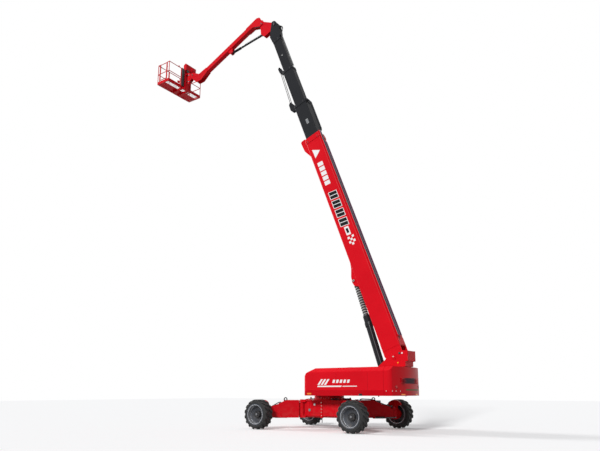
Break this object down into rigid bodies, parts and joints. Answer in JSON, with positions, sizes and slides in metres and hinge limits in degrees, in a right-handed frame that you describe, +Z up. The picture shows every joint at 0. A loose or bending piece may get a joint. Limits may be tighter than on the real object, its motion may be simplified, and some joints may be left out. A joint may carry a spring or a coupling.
{
  "type": "telescopic boom lift",
  "caption": "Self-propelled telescopic boom lift with a slewing turntable, extending boom, levelled jib and a work platform, on swing-out legs with steered wheels.",
  "frame": {"origin": "on the ground under the slewing axis", "axes": "+X the way the boom points at rest, +Y to the machine's left, +Z up"},
  "size_m": [14.0207, 4.2, 20.3872],
  "materials": {
    "red_paint": "gloss",
    "charcoal_paint": "satin",
    "tyre_rubber": "matte",
    "rim_paint": "satin",
    "dark_steel": "satin",
    "bellows_rubber": "matte",
    "rope_steel": "satin",
    "cast_grey": "matte",
    "floor_steel": "satin"
  },
  "bodies": {
    "chassis": {"chassis_frame": "red_paint", "slew_ring": "red_paint"},
    "leg_front_left": {"leg_front_left": "red_paint"},
    "steer_rod_front_left": {"steer_rod_front_left": "dark_steel"},
    "knuckle_front_left": {"knuckle_front_left": "red_paint"},
    "wheel_front_left": {"tyre_front_left": "tyre_rubber", "rim_front_left": "rim_paint"},
    "leg_front_right": {"leg_front_right": "red_paint"},
    "steer_rod_front_right": {"steer_rod_front_right": "dark_steel"},
    "knuckle_front_right": {"knuckle_front_right": "red_paint"},
    "wheel_front_right": {"tyre_front_right": "tyre_rubber", "rim_front_right": "rim_paint"},
    "leg_rear_left": {"leg_rear_left": "red_paint"},
    "steer_rod_rear_left": {"steer_rod_rear_left": "dark_steel"},
    "knuckle_rear_left": {"knuckle_rear_left": "red_paint"},
    "wheel_rear_left": {"tyre_rear_left": "tyre_rubber", "rim_rear_left": "rim_paint"},
    "leg_rear_right": {"leg_rear_right": "red_paint"},
    "steer_rod_rear_right": {"steer_rod_rear_right": "dark_steel"},
    "knuckle_rear_right": {"knuckle_rear_right": "red_paint"},
    "wheel_rear_right": {"tyre_rear_right": "tyre_rubber", "rim_rear_right": "rim_paint"},
    "turntable": {"turntable_frame": "red_paint", "counterweight": "red_paint", "engine_block": "cast_grey", "fluid_tank": "cast_grey"},
    "hood_left": {"hood_left": "red_paint"},
    "hood_right": {"hood_right": "red_paint"},
    "boom": {"base_boom": "red_paint"},
    "lift_barrel": {"lift_barrel": "charcoal_paint"},
    "lift_rod": {"lift_rod": "dark_steel", "lift_bellows": "bellows_rubber"},
    "fly_1": {"fly_1": "charcoal_paint", "hose_guide": "charcoal_paint"},
    "fly_2": {"fly_2": "charcoal_paint", "extension_rope": "rope_steel"},
    "fly_3": {"fly_3": "charcoal_paint", "boom_nose": "charcoal_paint", "back_rail": "dark_steel"},
    "upright": {"upright": "red_paint"},
    "jib": {"jib": "red_paint"},
    "jib_barrel": {"jib_barrel": "charcoal_paint"},
    "jib_rod": {"jib_rod": "dark_steel"},
    "level_bracket": {"level_bracket": "red_paint"},
    "platform": {"platform_frame": "red_paint", "platform_floor": "floor_steel", "platform_support": "red_paint", "console": "red_paint"},
    "gate": {"gate": "red_paint"}
  },
  "joints": [
    {"name": "leg_swing_front_left", "type": "hinge", "parent": "chassis", "child": "leg_front_left", "pos_m": [1, 0.5, 0.775], "axis": [0, 0, -1], "range_deg": [0, 33]},
    {"name": "steer_front_left", "type": "hinge", "parent": "leg_front_left", "child": "knuckle_front_left", "pos_m": [2.16, 1.45, 0.57353], "axis": [0, 0, 1], "range_deg": [-35, 35]},
    {"name": "steer_rod_slide_front_left", "type": "slide", "parent": "leg_front_left", "child": "steer_rod_front_left", "axis": [0.7737, 0.6336, 0], "range_m": [-0.13, 0.13]},
    {"name": "wheel_spin_front_left", "type": "hinge", "parent": "knuckle_front_left", "child": "wheel_front_left", "pos_m": [2.16, 1.875, 0.57353], "axis": [0, 1, 0], "continuous": true},
    {"name": "leg_swing_front_right", "type": "hinge", "parent": "chassis", "child": "leg_front_right", "pos_m": [1, -0.5, 0.775], "axis": [0, 0, 1], "range_deg": [0, 33]},
    {"name": "steer_front_right", "type": "hinge", "parent": "leg_front_right", "child": "knuckle_front_right", "pos_m": [2.16, -1.45, 0.57353], "axis": [0, 0, 1], "range_deg": [-35, 35]},
    {"name": "steer_rod_slide_front_right", "type": "slide", "parent": "leg_front_right", "child": "steer_rod_front_right", "axis": [0.7737, -0.6336, 0], "range_m": [-0.13, 0.13]},
    {"name": "wheel_spin_front_right", "type": "hinge", "parent": "knuckle_front_right", "child": "wheel_front_right", "pos_m": [2.16, -1.875, 0.57353], "axis": [0, 1, 0], "continuous": true},
    {"name": "leg_swing_rear_left", "type": "hinge", "parent": "chassis", "child": "leg_rear_left", "pos_m": [-1, 0.5, 0.775], "axis": [0, 0, 1], "range_deg": [0, 33]},
    {"name": "steer_rear_left", "type": "hinge", "parent": "leg_rear_left", "child": "knuckle_rear_left", "pos_m": [-2.16, 1.45, 0.57353], "axis": [0, 0, -1], "range_deg": [-35, 35]},
    {"name": "steer_rod_slide_rear_left", "type": "slide", "parent": "leg_rear_left", "child": "steer_rod_rear_left", "axis": [-0.7737, 0.6336, 0], "range_m": [-0.13, 0.13]},
    {"name": "wheel_spin_rear_left", "type": "hinge", "parent": "knuckle_rear_left", "child": "wheel_rear_left", "pos_m": [-2.16, 1.875, 0.57353], "axis": [0, 1, 0], "continuous": true},
    {"name": "leg_swing_rear_right", "type": "hinge", "parent": "chassis", "child": "leg_rear_right", "pos_m": [-1, -0.5, 0.775], "axis": [0, 0, -1], "range_deg": [0, 33]},
    {"name": "steer_rear_right", "type": "hinge", "parent": "leg_rear_right", "child": "knuckle_rear_right", "pos_m": [-2.16, -1.45, 0.57353], "axis": [0, 0, -1], "range_deg": [-35, 35]},
    {"name": "steer_rod_slide_rear_right", "type": "slide", "parent": "leg_rear_right", "child": "steer_rod_rear_right", "axis": [-0.7737, -0.6336, 0], "range_m": [-0.13, 0.13]},
    {"name": "wheel_spin_rear_right", "type": "hinge", "parent": "knuckle_rear_right", "child": "wheel_rear_right", "pos_m": [-2.16, -1.875, 0.57353], "axis": [0, 1, 0], "continuous": true},
    {"name": "slew", "type": "hinge", "parent": "chassis", "child": "turntable", "pos_m": [0, 0, 1.295], "axis": [0, 0, 1], "continuous": true},
    {"name": "hood_left_open", "type": "hinge", "parent": "turntable", "child": "hood_left", "pos_m": [-1.4, 0.426, 2.332], "axis": [1, 0, 0], "range_deg": [0, 60]},
    {"name": "hood_right_open", "type": "hinge", "parent": "turntable", "child": "hood_right", "pos_m": [-1.4, -0.426, 2.332], "axis": [-1, 0, 0], "range_deg": [0, 60]},
    {"name": "boom_luff", "type": "hinge", "parent": "turntable", "child": "boom", "pos_m": [-3.1, 0, 2.74], "axis": [0, -1, 0], "range_deg": [-69.5, 5.5]},
    {"name": "lift_barrel_pivot", "type": "hinge", "parent": "turntable", "child": "lift_barrel", "pos_m": [-2.64, 0, 1.69], "axis": [0, -1, 0], "range_deg": [-63, 5.1]},
    {"name": "lift_rod_slide", "type": "slide", "parent": "lift_barrel", "child": "lift_rod", "axis": [0.2958, 0, 0.9552], "range_m": [-1.22, 0.1], "deforming": ["lift_bellows"]},
    {"name": "telescope", "type": "slide", "parent": "boom", "child": "fly_1", "axis": [0.3494, 0, 0.937], "range_m": [-1.75, 6.2]},
    {"name": "telescope_2", "type": "slide", "parent": "fly_1", "child": "fly_2", "axis": [0.3494, 0, 0.937], "range_m": [-1.75, 6.2], "deforming": ["extension_rope"]},
    {"name": "telescope_3", "type": "slide", "parent": "fly_2", "child": "fly_3", "axis": [0.3494, 0, 0.937], "range_m": [-1.75, 6.2], "deforming": ["back_rail"]},
    {"name": "upright_level", "type": "hinge", "parent": "fly_3", "child": "upright", "pos_m": [2.98542, 0, 19.57479], "axis": [0, -1, 0], "range_deg": [-5.5, 69.5]},
    {"name": "jib_luff", "type": "hinge", "parent": "upright", "child": "jib", "pos_m": [3.82942, 0, 19.94979], "axis": [0, 1, 0], "range_deg": [-74.5, 25.5]},
    {"name": "jib_barrel_pivot", "type": "hinge", "parent": "upright", "child": "jib_barrel", "pos_m": [3.77942, 0, 19.35979], "axis": [0, 1, 0], "range_deg": [-69, 24]},
    {"name": "jib_rod_slide", "type": "slide", "parent": "jib_barrel", "child": "jib_rod", "axis": [0.9905, 0, -0.1374], "range_m": [-0.23, 0.665]},
    {"name": "platform_level", "type": "hinge", "parent": "jib", "child": "level_bracket", "pos_m": [8.72074, 0, 18.68116], "axis": [0, 1, 0], "range_deg": [-25.5, 74.5]},
    {"name": "platform_rotate", "type": "hinge", "parent": "level_bracket", "child": "platform", "pos_m": [9.09974, 0, 18.6], "axis": [0, 0, 1], "range_deg": [-90, 90]},
    {"name": "gate_swing", "type": "hinge", "parent": "platform", "child": "gate", "pos_m": [9.60974, 1.201, 18.70016], "axis": [0, 0, -1], "range_deg": [0, 90]}
  ],
  "couplings": [
    {"joint": "steer_rod_slide_front_left", "follows": "steer_front_left", "m_per_rad": 0.205},
    {"joint": "steer_rod_slide_front_right", "follows": "steer_front_right", "m_per_rad": -0.205},
    {"joint": "steer_rod_slide_rear_left", "follows": "steer_rear_left", "m_per_rad": 0.205},
    {"joint": "steer_rod_slide_rear_right", "follows": "steer_rear_right", "m_per_rad": -0.205},
    {"joint": "lift_barrel_pivot", "follows": "boom_luff", "ratio": 0.905},
    {"joint": "lift_rod_slide", "follows": "boom_luff", "m_per_rad": 1},
    {"joint": "telescope_2", "follows": "telescope", "ratio": 1},
    {"joint": "telescope_3", "follows": "telescope", "ratio": 1},
    {"joint": "upright_level", "follows": "boom_luff", "ratio": -1},
    {"joint": "jib_barrel_pivot", "follows": "jib_luff", "ratio": 0.92},
    {"joint": "jib_rod_slide", "follows": "jib_luff", "m_per_rad": -0.505},
    {"joint": "platform_level", "follows": "jib_luff", "ratio": -1}
  ]
}
